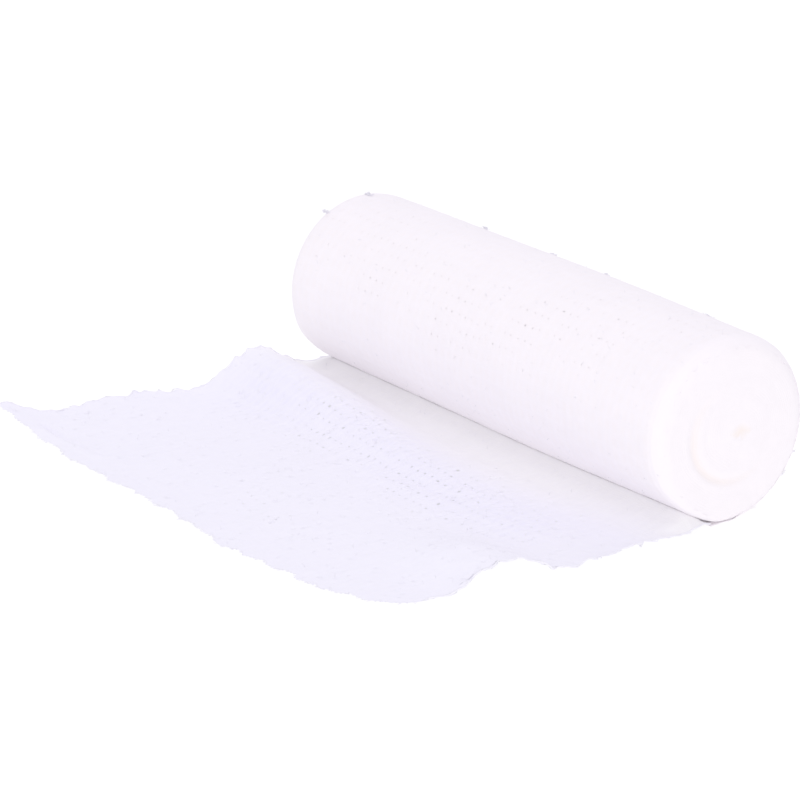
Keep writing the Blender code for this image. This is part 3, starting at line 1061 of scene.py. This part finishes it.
def make_edges(name, grid, cord, material):
    """Both selvedges of a layer: a cord of doubled warp along each edge of the strip, and a small
    loop where each weft turns back."""
    lines = keep_above(np.stack([grid[0, ::2], grid[-1, ::2]]), CORD_SPREAD[1] * cord)
    uneven = np.random.default_rng(131).uniform(*CORD_SPREAD, lines.shape[:2])
    cords = make_threads(f"{name}_cords", lines, cord * uneven, 6, material)
    loops = [
        edge_loops(grid[0], outward_of(grid, True), 141),
        edge_loops(grid[-1], outward_of(grid, False), 142),
    ]
    paths = keep_above(np.concatenate(loops), LOOP_THICKNESS * cord)
    radii = np.full(paths.shape[:2], LOOP_THICKNESS * cord)
    return [cords, make_threads(f"{name}_loops", paths, radii, 4, material)]


FRAY_STRANDS = 3  # at every second point of the cut end
FRAY_LONG = (0.2, 0.65)
FRAY_SHORT = (0.1, 0.3)  # where there is no warp yarn
FRAY_RADII = (0.085, 0.03)  # from root to tip
FRAY_CURL = 0.16


def make_cut_threads(loose, material):
    """Frayed ends of the yarns beyond the last weft, longer where a warp yarn ends."""
    chance = np.random.default_rng(151)
    edge = loose[:, -1]
    inner = loose[:, -1 - CELL_ROWS]
    picked = np.repeat(np.arange(0, len(edge), 2), FRAY_STRANDS)
    roots = edge[picked] + chance.uniform(-0.25, 0.25, (len(picked), 3)) * [1, 0.3, 0.2]
    headings = unit(edge[picked] - inner[picked])
    headings += chance.normal(0.0, 0.25, headings.shape) * [1.0, 0.6, 0.3]
    on_warp = (picked % CELL_COLUMNS) < 2
    long = chance.uniform(*FRAY_LONG, len(picked))
    short = chance.uniform(*FRAY_SHORT, len(picked))
    paths = curls(roots, headings, np.where(on_warp, long, short), FRAY_CURL, 7, 161)
    radii = np.linspace(*FRAY_RADII, 7)[None] * chance.uniform(0.7, 1.2, (len(picked), 1))
    return make_threads("cut_threads", keep_above(paths, 0.06), radii, 4, material)


LINT_FIBRES = 44  # to a tuft
LINT_SPREAD = (0.4, 0.12, 0.12)
LINT_LENGTH = (0.1, 0.32)
LINT_RADIUS = 0.05
LINT_CURL = 0.5
LINT = (
    # x, angle round the roll in degrees, distance from the axis
    (-48.7, 121, 15.0),
    (-46.6, 91, 15.2),
    (-22.3, 64, 15.2),
    (-3.9, 64, 15.2),
    (9.3, 61, 15.2),
    (32.1, 52, 15.2),
    (48.6, -25, 14.3),
    (48.6, -40, 14.3),
    (48.4, -68, 14.2),
)


def make_lint(material):
    """Small flat tangles of short curled fibres that cling to the roll."""
    chance = np.random.default_rng(171)
    place = np.array(LINT, float)
    angle = np.radians(place[:, 1])
    centre = np.stack(
        [place[:, 0], place[:, 2] * np.cos(angle), place[:, 2] * np.sin(angle) + AXIS_HEIGHT], -1
    )
    roots = np.repeat(centre, LINT_FIBRES, axis=0)
    roots = roots + chance.normal(0.0, 1.0, roots.shape) * LINT_SPREAD
    headings = unit(chance.normal(0.0, 1.0, roots.shape) * [1.0, 0.45, 0.45])
    lengths = chance.uniform(*LINT_LENGTH, len(roots))
    paths = curls(roots, headings, lengths, LINT_CURL, 7, 181)
    return make_threads("lint", paths, np.full(paths.shape[:2], LINT_RADIUS), 4, material)


FUZZ_LOOSE = 260  # fibres on the loose end
FUZZ_WOUND = 520  # and on the roll
FUZZ_LEAN = 0.9  # how far they lean off the cloth's normal
FUZZ_LENGTH = (0.2, 0.7)
FUZZ_RADII = (0.03, 0.015)
FUZZ_CURL = 0.3


def make_fuzz(loose, outer, material):
    """Single fibre ends that stand out of the cloth, the softness along its outline."""
    chance = np.random.default_rng(191)
    roots, headings = [], []
    for grid, count in ((loose, FUZZ_LOOSE), (outer, FUZZ_WOUND)):
        column = chance.integers(3, grid.shape[0] - 4, count)
        row = chance.integers(3, grid.shape[1] - 4, count)
        point = grid[column, row]
        along = grid[column, row + 3] - grid[column, row - 3]
        beside = grid[column + 3, row] - grid[column - 3, row]
        out = unit(np.cross(along, beside))
        roots.append(point)
        headings.append(out + chance.normal(0.0, FUZZ_LEAN, out.shape))
    roots, headings = np.concatenate(roots), unit(np.concatenate(headings))
    lengths = chance.uniform(*FUZZ_LENGTH, len(roots))
    paths = keep_above(curls(roots, headings, lengths, FUZZ_CURL, 6, 201), 0.05)
    radii = np.linspace(*FUZZ_RADII, 6)[None] * np.ones((len(roots), 1))
    return make_threads("fuzz", paths, radii, 3, material)


# --- light ---

TABLE = ("#C0C0C0", 0.61)  # colour and glow of the light table
MASKED_TABLE = ("#E6E6E6", 0.22)
TABLE_REACH = 2.2  # metres
MASK = (
    # x and y of the table's masked part, which stays hidden under the gauze
    (47, 8), (-47, 8), (-48, -34), (-49, -60), (-40, -64), (12, -64), (26, -60), (33, -55),
    (37, -48), (41, -32), (47, -20),
)
SKY = "#FAF8FF"
SKY_STRENGTH = 0.60
BACKDROP_STRENGTH = 1.1  # what the camera sees behind the table is pure white
LAMP_DISTANCE = 1.2  # metres
LAMP_SIZE = 0.9
LAMPS = (
    # name, azimuth, elevation, strength, colour
    ("overhead", 0, 78, 0.28, "#F6F1FF"),
    ("front", 12, 20, 0.10, "#FAFFF8"),
    ("side", 62, 15, 0.28, "#FFFAFF"),
    ("back", 220, 40, 0.20, "#F6F8FF"),
)
TONE_CURVE = 1.8  # the photo is overexposed, which presses its pale tones together


def add_area_light(name, azimuth, elevation, strength, colour):
    """A square soft light that faces the object from a place at these degrees. A white card that
    faces it is lit to `strength` of white: power = strength (pi distance)^2."""
    light = bpy.data.lights.new(name, "AREA")
    light.size = LAMP_SIZE
    light.energy = strength * (np.pi * LAMP_DISTANCE) ** 2
    light.color = linear(colour)[:3]
    place = Vector(heading(azimuth, elevation) * LAMP_DISTANCE)
    lamp = add_object(name, light)
    lamp.location = place
    lamp.rotation_euler = place.to_track_quat("Z", "Y").to_euler()


def set_light():
    """White all round, with large soft lamps nearly as strong from every side, and pale tones
    pressed together by the tone curve: a high-key table-top set."""
    world = bpy.data.worlds.new("white_room")
    world.use_nodes = True
    tree = world.node_tree
    sky = tree.nodes["Background"]
    sky.inputs["Color"].default_value = linear(SKY)
    sky.inputs["Strength"].default_value = SKY_STRENGTH
    backdrop = add_node(
        tree, "ShaderNodeBackground", Color=(1.0, 1.0, 1.0, 1.0), Strength=BACKDROP_STRENGTH
    ).outputs[0]
    seen = add_node(tree, "ShaderNodeLightPath").outputs["Is Camera Ray"]
    either = add_node(tree, "ShaderNodeMixShader", _0=seen, _1=sky.outputs[0], _2=backdrop)
    tree.links.new(either.outputs[0], tree.nodes["World Output"].inputs[0])
    bpy.context.scene.world = world
    for lamp in LAMPS:
        add_area_light(*lamp)
    bpy.context.scene.view_settings.view_transform = "Standard"
    bpy.context.scene.view_settings.gamma = TONE_CURVE


def make_floor():
    """The light table: a ring of quads from the mask's outline out to the table's reach, and the
    mask itself, a fan of triangles, all at height 0."""
    outline = np.array(MASK) * MM
    middle = outline.mean(axis=0)
    rim = middle + unit(outline - middle) * TABLE_REACH
    count = len(outline)
    points = np.zeros((2 * count + 1, 3))
    points[:, :2] = np.concatenate([outline, rim, middle[None]])
    here = np.arange(count)
    after = np.roll(here, -1)
    ring = np.stack([here, here + count, after + count, after], -1)
    fan = np.stack([here, after, np.full(count, 2 * count)], -1)
    floor = bpy.data.meshes.new("floor")
    floor.from_pydata(points, [], ring.tolist() + fan.tolist())
    floor.materials.append(light_table("white_light_table", *TABLE))
    floor.materials.append(light_table("masked_light_table", *MASKED_TABLE))
    floor.polygons.foreach_set("material_index", np.repeat([0, 1], count))
    piece = add_object("floor", floor)


# --- all together ---

set_camera()
set_light()
make_floor()

# One gauze coloured apart: the roll's pinker white is painted warm light, and its tint paints warm
# shade in core, valleys and hollows. The loose end's lavender tint paints cool light where the roll
# doesn't shade it, and shade in its hollows and open band.
roll_cloth = gauze("bleached_gauze_wound", "#F8F1F7", "#F5EEF4", "#F3DDC6", 0.35)
loose_cloth = gauze("bleached_gauze_single", "#F7F5F7", "#F4F2F4", "#E7E4FB", 0.45)
yarn = gauze("cotton_yarn", "#F1EFF9", "#E9E7F3", "#E9E8F2", 0.3)

wound_turns = make_wound_turns(roll_cloth)
outer_turn, outer_points = make_outer_turn(roll_cloth)
loose_end, loose_points = make_loose_end(loose_cloth)
edges = make_edges("loose_selvedge", loose_points, LOOSE_CORD, yarn)
wound_edges = make_edges("wound_selvedge", outer_points, WOUND_CORD, roll_cloth)
cut_threads = make_cut_threads(loose_points, yarn)
lint = make_lint(yarn)
fuzz = make_fuzz(loose_points, outer_points, yarn)

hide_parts("gauze_roll")
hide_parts("gauze_roll")
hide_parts("loose_end")
